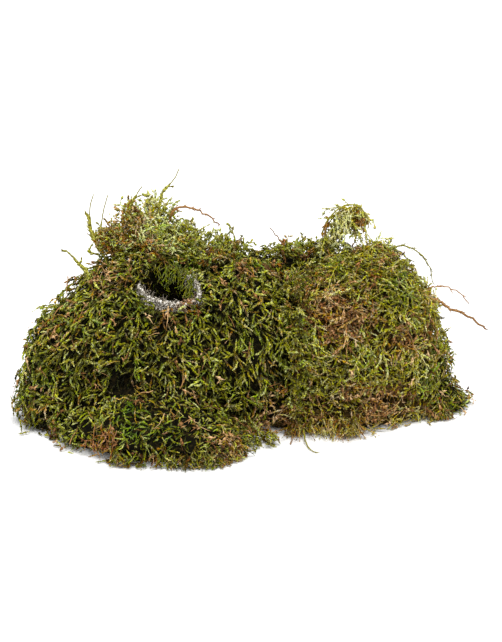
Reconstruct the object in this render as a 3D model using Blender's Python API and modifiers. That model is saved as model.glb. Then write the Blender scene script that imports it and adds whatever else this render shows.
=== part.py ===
"""Moss clump: an armful of forest-floor moss, made of several mats that lie over and against one another.

Each mat, tuft, stem and crust that would come apart in the hand is one closed solid of its own, and a mat's
solid reaches to the tips of its shoots. X runs along the clump, -Y is its front, and it rests on Z=0. The
origin is on the underside, below the middle of the clump. Sizes in the tables are millimetres.
"""

import math

import bmesh
import bpy
from mathutils import Matrix, Vector

MM = 0.001
CLEARANCE = 0.8 * MM  # room between a piece and its neighbour
MOST_SHARP = 3  # the most that the clearance is stretched at a sharp edge, to stay even beside it
VOXEL = 3.6 * MM  # how finely lumps melt into one form
HUMMOCK_SIZE = 26 * MM  # spacing of the swellings on a mat
HUMMOCK_HEIGHT = 7 * MM
RUFFLE_SIZE = 9 * MM  # spacing of the smaller unevenness on them
RUFFLE_HEIGHT = 3 * MM

# The burrow-like hollow in the front mat: the middle of its mouth, the way it runs in, and its half sizes.
HOLLOW_MOUTH = (-48, -28, 93)
HOLLOW_AXIS = (0.06, 0.42, -0.90)
HOLLOW_RADII = (17.5, 13, 36)
HOLLOW_SINK = 10  # how far below the mouth the hollow is widest

# The pale crust along the front and right of the mouth.
CRUST_WIDTH = 3.8  # how far it reaches out from the hollow's wall
CRUST_DEPTH = 7  # how far it reaches down that wall
CRUST_BLOCK = (60, 34, 40)  # the crust lies inside this block, turned to the slope of the mouth
CRUST_CENTRE = (-40, -38, 88)
CRUST_SLOPE = 42  # degrees that the mouth tips forward
CRUST_TURN = 19  # degrees that the crust is turned about the mouth

# A mat is a list of lumps: (centre, half sizes), and how many triangles its form is thinned to.
MATS = {
    "right_mat": (
        [((54, -2, 48), (40, 43, 50)), ((75, 2, 53), (37, 40, 52)), ((92, 6, 34), (24, 33, 42))],
        900,
    ),
    "front_mat": (
        [
            ((-62, 3, 58), (46, 46, 46)),
            ((-98, -4, 32), (41, 42, 41)),
            ((-52, -7, 42), (62, 52, 54)),
            ((-4, -2, 45), (42, 46, 52)),
            ((-108, -14, 9), (36, 31, 25)),
        ],
        1300,
    ),
    "rear_mat": (
        [((-58, 33, 40), (54, 38, 50)), ((0, 36, 44), (58, 38, 51)), ((50, 29, 46), (44, 37, 54))],
        650,
    ),
    "toe_mat": (
        [((26, -15, 10), (34, 22, 17)), ((62, -14, 10), (38, 23, 18)), ((90, -3, 8), (22, 20, 13))],
        500,
    ),
    "foot_mat": (
        [((-60, -60, 12), (34, 25, 26)), ((-31, -62, 6), (28, 23, 17)), ((-92, -46, 5), (24, 22, 17))],
        550,
    ),
    "tail_mat": (
        [((107, 16, 28), (18, 21, 22)), ((114, 8, 4), (26, 20, 11))],
        350,
    ),
    "crown_tuft": (
        [((-62, 12, 109), (21, 15, 23)), ((-44, 13, 101), (17, 15, 19)), ((-77, 11, 102), (12, 13, 18))],
        420,
    ),
    "arch_tuft": (
        [((56, 13, 110), (14, 10, 20)), ((64, 13, 119), (9, 8, 12)), ((72, 14, 103), (11, 10, 11))],
        320,
    ),
}
MAT_COLOURS = {
    "right_mat": ("mixed_moss", (0.14, 0.14, 0.05)),
    "front_mat": ("olive_moss", (0.10, 0.11, 0.03)),
    "rear_mat": ("olive_moss", (0.10, 0.11, 0.03)),
    "toe_mat": ("straw_moss", (0.20, 0.16, 0.07)),
    "foot_mat": ("fresh_moss", (0.10, 0.15, 0.04)),
    "tail_mat": ("olive_moss", (0.10, 0.11, 0.03)),
    "crown_tuft": ("pale_moss", (0.20, 0.19, 0.07)),
    "arch_tuft": ("pale_moss", (0.20, 0.19, 0.07)),
}

# A stem is the points on its way from root to tip, its radius at the root and whether it is green.
STEM_TIP_RADIUS = 0.3
STEM_STEPS = 2  # pieces that the tube has between two points
STEMS = {
    "crown_stem_tall": (
        [
            (-55, 8, 124), (-53, 7, 134), (-51, 6, 139), (-45, 5, 145), (-41, 4, 155),
        ],
        0.6,
        True,
    ),
    "crown_stem_short": (
        [
            (-76, 8, 118), (-73, 6, 127), (-69, 5, 133), (-66, 4, 139), (-63, 3, 143),
        ],
        0.6,
        True,
    ),
    "crown_runner": (
        [
            (-48, 8, 122), (-43, 2, 130), (-36, 0, 130), (-29, -2, 128), (-23, -4, 125), (-17, -5, 119),
        ],
        0.6,
        False,
    ),
    "left_stem_outer": (
        [
            (-86, 4, 96), (-91, 2, 107), (-95, 1, 117), (-95, 0, 129), (-91, -1, 141),
        ],
        0.6,
        True,
    ),
    "left_stem_inner": (
        [
            (-84, 6, 99), (-89, 3, 111), (-88, 2, 122), (-86, 1, 131), (-83, 0, 140),
        ],
        0.5,
        True,
    ),
    "left_sprig": (
        [
            (-95, 0, 86), (-102, -2, 96), (-106, -3, 101), (-110, -4, 106),
        ],
        0.5,
        True,
    ),
    "ridge_twig_left": (
        [
            (-9, 14, 98), (-10, 12, 109), (-12, 11, 114), (-14, 10, 119),
        ],
        0.5,
        True,
    ),
    "ridge_twig_right": (
        [
            (20, 16, 97), (17, 14, 106), (14, 12, 110), (10, 11, 115),
        ],
        0.5,
        False,
    ),
    "arch_runner": (
        [
            (44, 9, 117), (49, 3, 126), (55, 2, 131), (62, 1, 131), (68, 1, 126), (70, 2, 115),
        ],
        0.5,
        True,
    ),
    "right_loop": (
        [
            (81, 12, 92), (85, 8, 103), (92, 5, 105), (99, 2, 102), (106, -1, 95), (108, -4, 82),
        ],
        0.5,
        True,
    ),
    "right_runner_long": (
        [
            (98, 6, 74), (109, -4, 75), (115, -7, 71), (122, -9, 69), (128, -11, 67), (134, -14, 63),
            (142, -18, 59),
        ],
        0.6,
        False,
    ),
    "right_runner_fine": (
        [
            (99, 10, 78), (111, 2, 80), (117, 0, 81), (122, -3, 79), (126, -6, 77), (130, -9, 71),
        ],
        0.45,
        False,
    ),
    "rootlet_left": (
        [
            (24, -28, 9), (24, -39, 5), (24, -46, 1.5), (23, -53, 0.8),
        ],
        0.5,
        False,
    ),
    "rootlet_right": (
        [
            (30, -26, 10), (31, -40, 5), (32, -50, 1.5), (35, -61, 0.8), (41, -63, 0.8),
        ],
        0.5,
        False,
    ),
}


def clear_scene():
    for obj in list(bpy.data.objects):
        bpy.data.objects.remove(obj, do_unlink=True)


def add_collection(name):
    collection = bpy.data.collections.new(name)
    bpy.context.scene.collection.children.link(collection)
    return collection


def add_object(name, mesh, collection):
    obj = bpy.data.objects.new(name, mesh)
    collection.objects.link(obj)
    return obj


def mesh_from(name, bm):
    mesh = bpy.data.meshes.new(name)
    bm.to_mesh(mesh)
    bm.free()
    return mesh


def as_cutter(obj):
    obj.hide_render = True
    obj.display_type = "WIRE"
    return obj


def set_material(obj, name, colour):
    """Gives obj a rough Principled material, made the first time its name is asked for."""
    found = bpy.data.materials.get(name)
    if found is None:
        found = bpy.data.materials.new(name)
        found.use_nodes = True
        shader = found.node_tree.nodes["Principled BSDF"]
        shader.inputs["Base Color"].default_value = (*colour, 1)
        shader.inputs["Roughness"].default_value = 0.85
        shader.inputs["Metallic"].default_value = 0
    obj.data.materials.clear()
    obj.data.materials.append(found)


def bake_shape(obj):
    """Replaces obj's mesh by its evaluated one and drops its modifiers."""
    bpy.context.view_layer.update()
    graph = bpy.context.evaluated_depsgraph_get()
    mesh = bpy.data.meshes.new_from_object(obj.evaluated_get(graph))
    obj.modifiers.clear()
    obj.data = mesh


def edit(obj, change):
    """Runs change on a bmesh of obj and stores the result."""
    bm = bmesh.new()
    bm.from_mesh(obj.data)
    change(bm)
    bm.to_mesh(obj.data)
    bm.free()


def lump_mesh(name, lumps):
    """One mesh of overlapping ellipsoids."""
    bm = bmesh.new()
    for centre, radii in lumps:
        place = Matrix.Translation(Vector(centre) * MM) @ Matrix.Diagonal((*(Vector(radii) * MM), 1))
        bmesh.ops.create_icosphere(bm, subdivisions=4, radius=1, matrix=place)
    return mesh_from(name, bm)


def add_swellings(obj, size, height):
    texture = bpy.data.textures.new("swellings", "CLOUDS")
    texture.noise_scale = size
    texture.noise_depth = 1
    modifier = obj.modifiers.new("swell", "DISPLACE")
    modifier.texture = texture
    modifier.texture_coords = "LOCAL"
    modifier.strength = height
    modifier.mid_level = 0.4


def melt(obj):
    modifier = obj.modifiers.new("melt", "REMESH")
    modifier.mode = "VOXEL"
    modifier.voxel_size = VOXEL


def grown_form(name, lumps, triangles, collection):
    """A mat: its lumps melted together, swollen unevenly, then thinned to about that many triangles."""
    obj = add_object(name, lump_mesh(name, lumps), collection)
    melt(obj)
    obj.modifiers.new("smooth", "SMOOTH").iterations = 6
    add_swellings(obj, HUMMOCK_SIZE, HUMMOCK_HEIGHT)
    add_swellings(obj, RUFFLE_SIZE, RUFFLE_HEIGHT)
    melt(obj)
    bake_shape(obj)
    obj.data.calc_loop_triangles()
    obj.modifiers.new("thin", "DECIMATE").ratio = triangles / len(obj.data.loop_triangles)
    obj.modifiers.new("even", "SMOOTH").iterations = 4
    bake_shape(obj)
    return obj


def grown_copy(obj, name, by, collection):
    """A cutter that is obj grown by that much all round, or shrunk."""
    cutter = add_object(name, obj.data.copy(), collection)

    def grow(bm):
        bm.normal_update()
        steps = [v.normal * by * min(v.calc_shell_factor(), MOST_SHARP) for v in bm.verts]
        for vertex, step in zip(bm.verts, steps):
            vertex.co += step

    edit(cutter, grow)
    return as_cutter(cutter)


def keep_largest_body(obj):
    """Drops the crumbs that a cut leaves beside the main body."""

    def drop(bm):
        todo, bodies = set(bm.verts), []
        while todo:
            body, edge = set(), [todo.pop()]
            while edge:
                vertex = edge.pop()
                body.add(vertex)
                near = {e.other_vert(vertex) for e in vertex.link_edges} & todo
                todo -= near
                edge += near
            bodies.append(body)
        bodies.sort(key=len)
        for body in bodies[:-1]:
            bmesh.ops.delete(bm, geom=list(body), context="VERTS")

    edit(obj, drop)


def cut(obj, cutters, operation="DIFFERENCE"):
    for cutter in cutters:
        modifier = obj.modifiers.new("cut", "BOOLEAN")
        modifier.object = cutter
        modifier.operation = operation
    bake_shape(obj)
    keep_largest_body(obj)


def block(name, size, place, collection):
    """A box cutter of that size, in metres, set by the matrix place."""
    bm = bmesh.new()
    bmesh.ops.create_cube(bm, size=1, matrix=place @ Matrix.Diagonal((*size, 1)))
    return as_cutter(add_object(name, mesh_from(name, bm), collection))


def hollow_shape(name, widen, collection):
    """The bag shape of the hollow, with its half width and half length widened by this many millimetres."""
    axis = Vector(HOLLOW_AXIS).normalized()
    across, along, deep = HOLLOW_RADII
    size = Vector((across + widen, along + widen, deep)) * MM
    place = Matrix.Translation((Vector(HOLLOW_MOUTH) + axis * HOLLOW_SINK) * MM)
    turn = axis.to_track_quat("-Z", "Y").to_matrix().to_4x4()
    bm = bmesh.new()
    matrix = place @ turn @ Matrix.Diagonal((*size, 1))
    bmesh.ops.create_uvsphere(bm, u_segments=20, v_segments=12, radius=1, matrix=matrix)
    return as_cutter(add_object(name, mesh_from(name, bm), collection))


def make_crust(front, hollow, collection, cutters):
    """The crust is the front mat's own rim: its skin beside the hollow, as far as a tilted block reaches."""
    crust = hollow_shape("pale_crust", CRUST_WIDTH, collection)
    crust.hide_render = False
    crust.display_type = "TEXTURED"
    slope = Matrix.Rotation(math.radians(CRUST_SLOPE), 4, "X")
    turn = Matrix.Rotation(math.radians(CRUST_TURN), 4, "Z")
    place = Matrix.Translation(Vector(CRUST_CENTRE) * MM) @ slope @ turn
    slab = block("crust_block", Vector(CRUST_BLOCK) * MM, place, cutters)
    whole_front = grown_copy(front, "front_whole", 0, cutters)
    room = bpy.data.objects["front_mat_room"]
    below_skin = grown_copy(room, "front_below_skin", -CRUST_DEPTH * MM, cutters)
    cut(crust, [slab, whole_front], "INTERSECT")
    cut(crust, [hollow, below_skin])
    return crust


def smooth_route(points):
    """Points along a Catmull-Rom curve through the given ones."""
    points = [Vector(p) * MM for p in points]
    ends = [2 * points[0] - points[1], *points, 2 * points[-1] - points[-2]]
    route = []
    for a, b, c, d in zip(ends, ends[1:], ends[2:], ends[3:]):
        for i in range(STEM_STEPS):
            t = i / STEM_STEPS
            bend = (2 * a - 5 * b + 4 * c - d) * t**2 + (3 * b - a - 3 * c + d) * t**3
            route.append(b + 0.5 * ((c - a) * t + bend))
    return route + [points[-1]]


def stem(name, points, radius, collection):
    """A thin stem: a tapering tube along a smooth route, as a mesh with its caps welded on."""
    curve = bpy.data.curves.new(name, "CURVE")
    curve.dimensions = "3D"
    curve.bevel_depth = MM
    curve.bevel_resolution = 1
    curve.use_fill_caps = True
    route = smooth_route(points)
    spline = curve.splines.new("POLY")
    spline.points.add(len(route) - 1)
    for i, (point, place) in enumerate(zip(spline.points, route)):
        point.co = (*place, 1)
        point.radius = radius + (STEM_TIP_RADIUS - radius) * i / (len(route) - 1)
    guide = add_object(name + "_guide", curve, collection)
    bpy.context.view_layer.update()
    mesh = bpy.data.meshes.new_from_object(guide.evaluated_get(bpy.context.evaluated_depsgraph_get()))
    bpy.data.objects.remove(guide)
    obj = add_object(name, mesh, collection)
    edit(obj, lambda bm: bmesh.ops.remove_doubles(bm, verts=bm.verts, dist=0.01 * MM))
    return obj


def build():
    clear_scene()
    clump = add_collection("moss_clump")
    cutters = add_collection("cutters")
    ground = block("ground", (0.5, 0.5, 0.1), Matrix.Translation((0, 0, -0.05)), cutters)
    hollow = hollow_shape("hollow", 0, cutters)

    # Each mat gives way to those laid before it.
    laid = []
    for name, (lumps, triangles) in MATS.items():
        mat = grown_form(name, lumps, triangles, clump)
        room = grown_copy(mat, name + "_room", CLEARANCE, cutters)
        cut(mat, [ground, *laid])
        set_material(mat, *MAT_COLOURS[name])
        laid.append(room)

    front = bpy.data.objects["front_mat"]
    crust = make_crust(front, hollow, clump, cutters)
    set_material(crust, "pale_crust", (0.45, 0.42, 0.33))
    cut(front, [hollow, grown_copy(crust, "pale_crust_room", CLEARANCE, cutters)])

    for name, (points, radius, green) in STEMS.items():
        strand = stem(name, points, radius, clump)
        cut(strand, laid)
        colour = ("green_stem", (0.25, 0.26, 0.08)) if green else ("brown_stem", (0.30, 0.16, 0.07))
        set_material(strand, *colour)


build()
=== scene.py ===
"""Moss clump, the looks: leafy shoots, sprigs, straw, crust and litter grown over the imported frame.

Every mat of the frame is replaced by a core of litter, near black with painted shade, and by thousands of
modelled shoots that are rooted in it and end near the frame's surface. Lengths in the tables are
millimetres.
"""

import math

import bmesh
import bpy
import numpy as np
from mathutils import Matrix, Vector, noise
from mathutils.bvhtree import BVHTree
from mathutils.kdtree import KDTree


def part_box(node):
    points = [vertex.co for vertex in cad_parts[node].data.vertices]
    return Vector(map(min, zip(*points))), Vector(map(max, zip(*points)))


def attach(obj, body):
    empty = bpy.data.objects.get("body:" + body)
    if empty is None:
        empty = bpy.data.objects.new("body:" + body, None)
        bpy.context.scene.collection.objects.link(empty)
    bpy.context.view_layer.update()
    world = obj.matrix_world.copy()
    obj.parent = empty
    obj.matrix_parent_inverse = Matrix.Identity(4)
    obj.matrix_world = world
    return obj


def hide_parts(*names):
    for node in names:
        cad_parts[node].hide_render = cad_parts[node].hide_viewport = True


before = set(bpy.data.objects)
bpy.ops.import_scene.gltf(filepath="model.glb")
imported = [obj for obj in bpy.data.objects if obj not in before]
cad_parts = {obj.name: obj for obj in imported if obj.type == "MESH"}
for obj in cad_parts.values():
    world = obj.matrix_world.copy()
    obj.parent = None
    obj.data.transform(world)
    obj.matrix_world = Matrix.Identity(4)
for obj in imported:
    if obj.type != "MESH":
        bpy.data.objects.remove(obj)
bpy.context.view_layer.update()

MM = 0.001
BODY = "root"
UP = np.array((0.0, 0.0, 1.0))
GOLDEN_ANGLE = math.radians(137.5)
FLOOR_GAP = 0.4 * MM  # nothing of the moss lies lower than this
CONTACT = 1.3 * MM  # no shoot grows where another mat lies as close as this
MOST_FACES = 190000  # in one piece

# Each mat: its slot, how far under the frame's surface its core of litter lies, and how strong the painted
# shade is that darkens its moss under its surface. The looser mats get lighter painted shade.
MAT_TRAITS = {
    "front_mat": ("olive_moss", 6.5, 0.85),
    "right_mat": ("mixed_moss", 7.5, 0.5),
    "rear_mat": ("olive_moss", 6.0, 0.75),
    "foot_mat": ("fresh_moss", 5.0, 0.7),
    "toe_mat": ("straw_moss", 3.5, 0.4),
    "tail_mat": ("olive_moss", 4.0, 0.7),
}
MATS = tuple(MAT_TRAITS)
TUFTS = ("crown_tuft", "arch_tuft")
SLOTS = {node: traits[0] for node, traits in MAT_TRAITS.items()}
CORE_DEPTH = {node: traits[1] for node, traits in MAT_TRAITS.items()}
PAINTED_SHADE_STRENGTH = {node: traits[2] for node, traits in MAT_TRAITS.items()}
CORE_VOXEL = 3.1 * MM
CORE_NEIGHBOURS = 5  # points of the open surface that a point of a core is measured from
CORE_TUCK = 4.5 * MM  # how much deeper the cores lie by the floor
CORE_FOLLOWS = 0.8  # the share of the relief that the cores follow
SKIN_SPACING = 2.4 * MM
TUSSOCK = 11 * MM  # spacing of the groups in which shoots share a direction
RIM = 7 * MM  # below this the shoots of a mat lie outwards over the floor
RESTING = 1.5 * MM  # below this a mat's surface that faces down is its underside

# The hollow in the front mat: the middle of its mouth, the way it runs in, and its half sizes.
HOLLOW_MOUTH = np.array((-48, -28, 93)) * MM
HOLLOW_AXIS = np.array((0.06, 0.42, -0.90))
HOLLOW_RADII = np.array((17.5, 13, 36)) * MM
HOLLOW_SINK = 10 * MM
HOLLOW_CORE_DEPTH = 1.2 * MM
HOLLOW_WALL = 1.12  # a surface nearer to its axis than this is its wall, where 1 is its smooth form

# Where the moss differs from its mat: x, y, z, reach and how much. "dry" is tan and dead, "rust" is
# orange-brown, "fresh" is a cooler and brighter green and "dim" is painted shade in creases and crevices.
PATCHES = {
    "dry": [
        (41, -33, 79, 11, 0.95), (54, -41, 68, 12, 1.0), (63, -38, 76, 10, 0.8), (87, -35, 57, 9, 0.75),
        (106, -18, 57, 8, 0.5), (-4, -10, 96, 9, 0.75), (17, 1, 90, 9, 0.6), (36, -19, 88, 10, 0.6),
        (61, -39, 29, 10, 0.9), (79, -29, 19, 12, 1.0), (69, -36, 15, 9, 0.7), (91, -26, 22, 9, 0.8),
        (-124, -38, 19, 12, 0.3), (-13, -77, 10, 11, 0.6), (11, -34, 12, 14, 0.7), (41, -34, 15, 12, 0.3),
        (101, -18, 9, 9, 0.4), (-74, 2, 118, 14, 0.45), (-83, -16, 93, 16, 0.3), (-48, -45, 77, 8, 0.5),
        (78, -14, 94, 6, 0.6),
    ],
    "rust": [
        (50, -38, 74, 15, 0.3), (106, -18, 57, 9, 0.4), (-82, -78, 15, 9, 0.95), (-89, -71, 6, 8, 0.8),
        (-60, -2, 107, 8, 0.85), (-70, 0, 124, 10, 0.35), (-30, -42, 80, 7, 0.6), (70, -20, 88, 9, 0.3),
        (100, -8, 84, 8, 0.35), (97, -18, 52, 8, 0.45), (88, -24, 40, 8, 0.35), (34, 2, 98, 6, 0.35),
        (-112, -20, 66, 16, 0.15),
    ],
    "painted_crease_shade": [
        (-76, -56, 41, 10, 0.9), (29, -32, 36, 12, 0.7), (109, -16, 58, 5, 0.8), (105, -18, 48, 6, 0.9),
        (100, -20, 38, 6, 0.9), (95, -22, 29, 6, 0.9), (90, -25, 20, 6, 0.8), (-49, -10, 84, 10, 0.5),
    ],
    "fresh": [
        (-44, 2, 120, 12, 0.5), (-68, -78, 28, 14, 0.85), (-46, -80, 23, 14, 0.55), (47, -3, 96, 16, 0.6),
        (87, -25, 87, 14, 0.6), (62, -36, 50, 10, 0.6), (30, -36, 62, 10, 0.6), (-30, 5, 100, 14, 0.4),
        (117, -12, 46, 13, 0.6), (109, -14, 28, 12, 0.6),
    ],
}

# Where the moss stands higher or lower than the frame's surface: x, y, z, reach and height.
RELIEF = [
    (-30, 14, 104, 16, 7), (-10, 14, 103, 12, 6), (30, 20, 100, 16, 4), (-104, 0, 88, 18, 4),
    (-119, -5, 73, 16, 4.5), (-131, -8, 57, 9, 3), (-138, -8, 42, 9, -4), (104, 0, 97, 26, -12),
    (84, 2, 103, 10, -3), (114, 2, 76, 14, -3.5), (104, -19, 47, 8, -3), (96, -22, 31, 8, -3),
    (114, -5, 58, 12, -2.5), (112, -14, 2, 18, 6), (92, -22, 2, 12, 4), (-60, -84, 4, 26, 3),
    (-30, -80, 4, 18, 3), (2, -42, 4, 16, 8), (-76, -58, 42, 9, -5), (-100, -55, 25, 10, 3.5),
    (-58, -62, 38, 10, 3.5), (-40, -62, 30, 11, 4.5), (-22, -58, 22, 11, 4.5), (-5, -45, 12, 12, 4),
]

rng = np.random.default_rng(20)


# ---- number helpers


def unit(vectors):
    """The vectors at length 1."""
    return vectors / np.maximum(np.linalg.norm(vectors, axis=-1, keepdims=True), 1e-9)


def dot(a, b):
    """The dot products of two rows of vectors, as a column."""
    return (a * b).sum(axis=-1, keepdims=True)


def smooth_step(values, low, high):
    """0 at low, 1 at high, and an easy slope between them."""
    t = np.clip((values - low) / (high - low), 0, 1)
    return t * t * (3 - 2 * t)


def field(points, size, layer):
    """A slow noise over space, about -1 to 1, with features of that size in metres."""
    shift = np.array((17.3, -5.1, 9.7)) * (layer + 1)
    return np.array([noise.noise(Vector(p)) for p in points / size + shift])


def chance(count, low, high):
    """A column of random numbers between two bounds."""
    return rng.uniform(low, high, (count, 1))


# ---- the frame's surfaces


def surface_of(*nodes):
    """The welded surface of CAD nodes: points, triangles, smooth normals, and a tree of it for distances."""
    points = []
    faces = []
    first = 0
    for node in nodes:
        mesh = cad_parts[node].data
        mesh.calc_loop_triangles()
        place = np.zeros(len(mesh.vertices) * 3)
        corners = np.zeros(len(mesh.loop_triangles) * 3, int)
        mesh.vertices.foreach_get("co", place)
        mesh.loop_triangles.foreach_get("vertices", corners)
        points.append(place.reshape(-1, 3))
        faces.append(corners.reshape(-1, 3) + first)
        first += len(mesh.vertices)
    points, where = np.unique(np.round(np.concatenate(points), 7), axis=0, return_inverse=True)
    faces = where.reshape(-1)[np.concatenate(faces)]
    crossed = np.cross(points[faces[:, 1]] - points[faces[:, 0]], points[faces[:, 2]] - points[faces[:, 0]])
    normals = np.zeros_like(points)
    for corner in range(3):
        np.add.at(normals, faces[:, corner], crossed)
    tree = BVHTree.FromPolygons([Vector(p) for p in points], faces.tolist())
    return {
        "points": points,
        "faces": faces,
        "areas": np.linalg.norm(crossed, axis=1) / 2,
        "normals": unit(normals),
        "tree": tree,
    }


def distances(surface, points):
    """How far each point is from a surface."""
    return np.array([surface["tree"].find_nearest(Vector(p))[3] for p in points])


def scatter(surface, spacing):
    """Points spread over a surface, at most one in each cell of that spacing, and the normals there."""
    areas = surface["areas"]
    count = int(areas.sum() / spacing**2 * 6)
    picked = surface["faces"][rng.choice(len(areas), count, p=areas / areas.sum())]
    weights = rng.dirichlet((1, 1, 1), count)[:, :, None]
    points = (surface["points"][picked] * weights).sum(axis=1)
    normals = unit((surface["normals"][picked] * weights).sum(axis=1))
    cells = np.floor(points / spacing + rng.random(3)).astype(int)
    first = rng.permutation(np.unique(cells, axis=0, return_index=True)[1])
    return points[first], normals[first]


def hollow_frame():
    """The directions across the hollow, over it and down it."""
    down = unit(HOLLOW_AXIS)
    across = unit(np.cross(UP, down))
    return across, np.cross(down, across), down


def hollow_nearness(points):
    """How far out a point is from the hollow's axis: 1 on the hollow's wall, less inside it."""
    across, over, down = hollow_frame()
    away = points - (HOLLOW_MOUTH + down * HOLLOW_SINK)
    turned = np.stack((away @ across, away @ over, away @ down), axis=1)
    return np.linalg.norm(turned / HOLLOW_RADII, axis=1)


SURFACES = {node: surface_of(node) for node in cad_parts}
NEIGHBOURS = {node: surface_of(*[n for n in MATS if n != node]) for node in MATS + TUFTS}
ALL_MATS = surface_of(*MATS, *TUFTS)


def shares(points, x, y, z, reach):
    """How far each point is from a spot, as a share of a reach. Spot and reach are in millimetres."""
    return np.linalg.norm(points - np.array((x, y, z)) * MM, axis=1) / (reach * MM)


def patch_marks(points):
    """How dry, rusty and fresh the moss is at each point, and how much painted shade darkens it in creases
    and crevices.
    """
    marks = {}
    ragged = 1 + 0.45 * field(points, 7 * MM, 4) + 0.25 * field(points, 3 * MM, 5)
    for what, patches in PATCHES.items():
        marks[what] = np.zeros(len(points))
        for *spot, amount in patches:
            faded = 1 - smooth_step(shares(points, *spot) / ragged, 0.45, 1.25)
            marks[what] = np.maximum(marks[what], amount * faded)
    return marks


def relief(points):
    """How much higher than the frame's surface the moss stands at each point, as a column."""
    height = np.zeros(len(points))
    for *spot, amount in RELIEF:
        height += amount * MM * (1 - smooth_step(shares(points, *spot), 0.3, 1.0))
    return height[:, None]


def underside(points, normals):
    """Which points of a mat's surface rest on the floor."""
    return (points[:, 2] < RESTING) & (normals[:, 2] < -0.5)


# ---- strands gathered in arrays


class Tangle:
    """Strands gathered as arrays, to become one mesh.

    Each strand is a set of points with the same triangles. Its marks are numbers for the material: "along"
    from root to tip, "shade", "deep", the painted shade of strands that lie under the surface, "dry", "rust"
    and "fresh".
    """

    MARKS = ("along", "shade", "deep", "dry", "rust", "fresh")

    def __init__(self):
        self.points = []
        self.faces = []
        self.marks = {name: [] for name in self.MARKS}
        self.spots = []
        self.strands = []
        self.first_point = 0
        self.strand_total = 0

    def add(self, points, faces, spots, marks, strand=None):
        """Adds N strands with the same faces, and returns their numbers.

        points is (N, V, 3), faces is (F, 3), and spots is (V, 2) in the strand's own cell of the texture.
        """
        count, each = points.shape[:2]
        firsts = self.first_point + np.arange(count) * each
        self.points.append(points.reshape(-1, 3))
        self.faces.append((faces[None] + firsts[:, None, None]).reshape(-1, 3))
        for name in self.MARKS:
            value = np.broadcast_to(np.asarray(marks.get(name, 0.0), float), (count, each))
            self.marks[name].append(value.reshape(-1))
        self.spots.append(np.broadcast_to(spots, (count, each, 2)).reshape(-1, 2))
        if strand is None:
            strand = self.strand_total + np.arange(count)
            self.strand_total += count
        self.strands.append(np.repeat(strand, each))
        self.first_point += count * each
        return strand


def path_frame(paths):
    """Along, across and over directions at every station of the paths."""
    along = unit(np.gradient(paths, axis=1))
    middle = along[:, along.shape[1] // 2]
    hint = np.cross(middle, rng.normal(0, 1, middle.shape))
    across = unit(hint[:, None] - along * dot(np.broadcast_to(hint[:, None], along.shape), along))
    return along, across, np.cross(along, across)


def stalk(tangle, paths, radius, marks, taper=0.5):
    """A closed three-sided tube on each path, ending in a point. Returns the strands' numbers."""
    stations = paths.shape[1]
    _, across, over = path_frame(paths)
    steps = np.linspace(0, 1, stations)
    rings = []
    spots = []
    for k in range(stations - 1):
        for side in range(3):
            angle = side * math.tau / 3
            out = across[:, k] * math.cos(angle) + over[:, k] * math.sin(angle)
            rings.append(paths[:, k] + out * radius * (1 - taper * steps[k]))
            spots.append((steps[k], 0.2 + 0.3 * side))
    points = np.stack(rings + [paths[:, -1]], axis=1)
    spots.append((1.0, 0.5))
    faces = [(0, 2, 1)]
    for k in range(stations - 2):
        for side in range(3):
            a = 3 * k + side
            b = 3 * k + (side + 1) % 3
            faces += [(a, b, b + 3), (a, b + 3, a + 3)]
    last = 3 * (stations - 2)
    faces += [(last + side, last + (side + 1) % 3, last + 3) for side in range(3)]
    along = np.array([spot[0] for spot in spots])
    told = dict(marks, along=np.broadcast_to(along, points.shape[:2]))
    return tangle.add(points, np.array(faces), np.array(spots), told)


def between(values, spots):
    """Values of the paths' stations, read at the same fractions of every path."""
    place = spots * (values.shape[1] - 1)
    low = np.minimum(place.astype(int), values.shape[1] - 2)
    part = (place - low)[None, :, None]
    return values[:, low] * (1 - part) + values[:, low + 1] * part


def stations_on(paths, spots):
    """The places at these fractions of every path, with the directions along, across and over there."""
    return [between(paths, spots)] + [unit(between(way, spots)) for way in path_frame(paths)]


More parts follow.
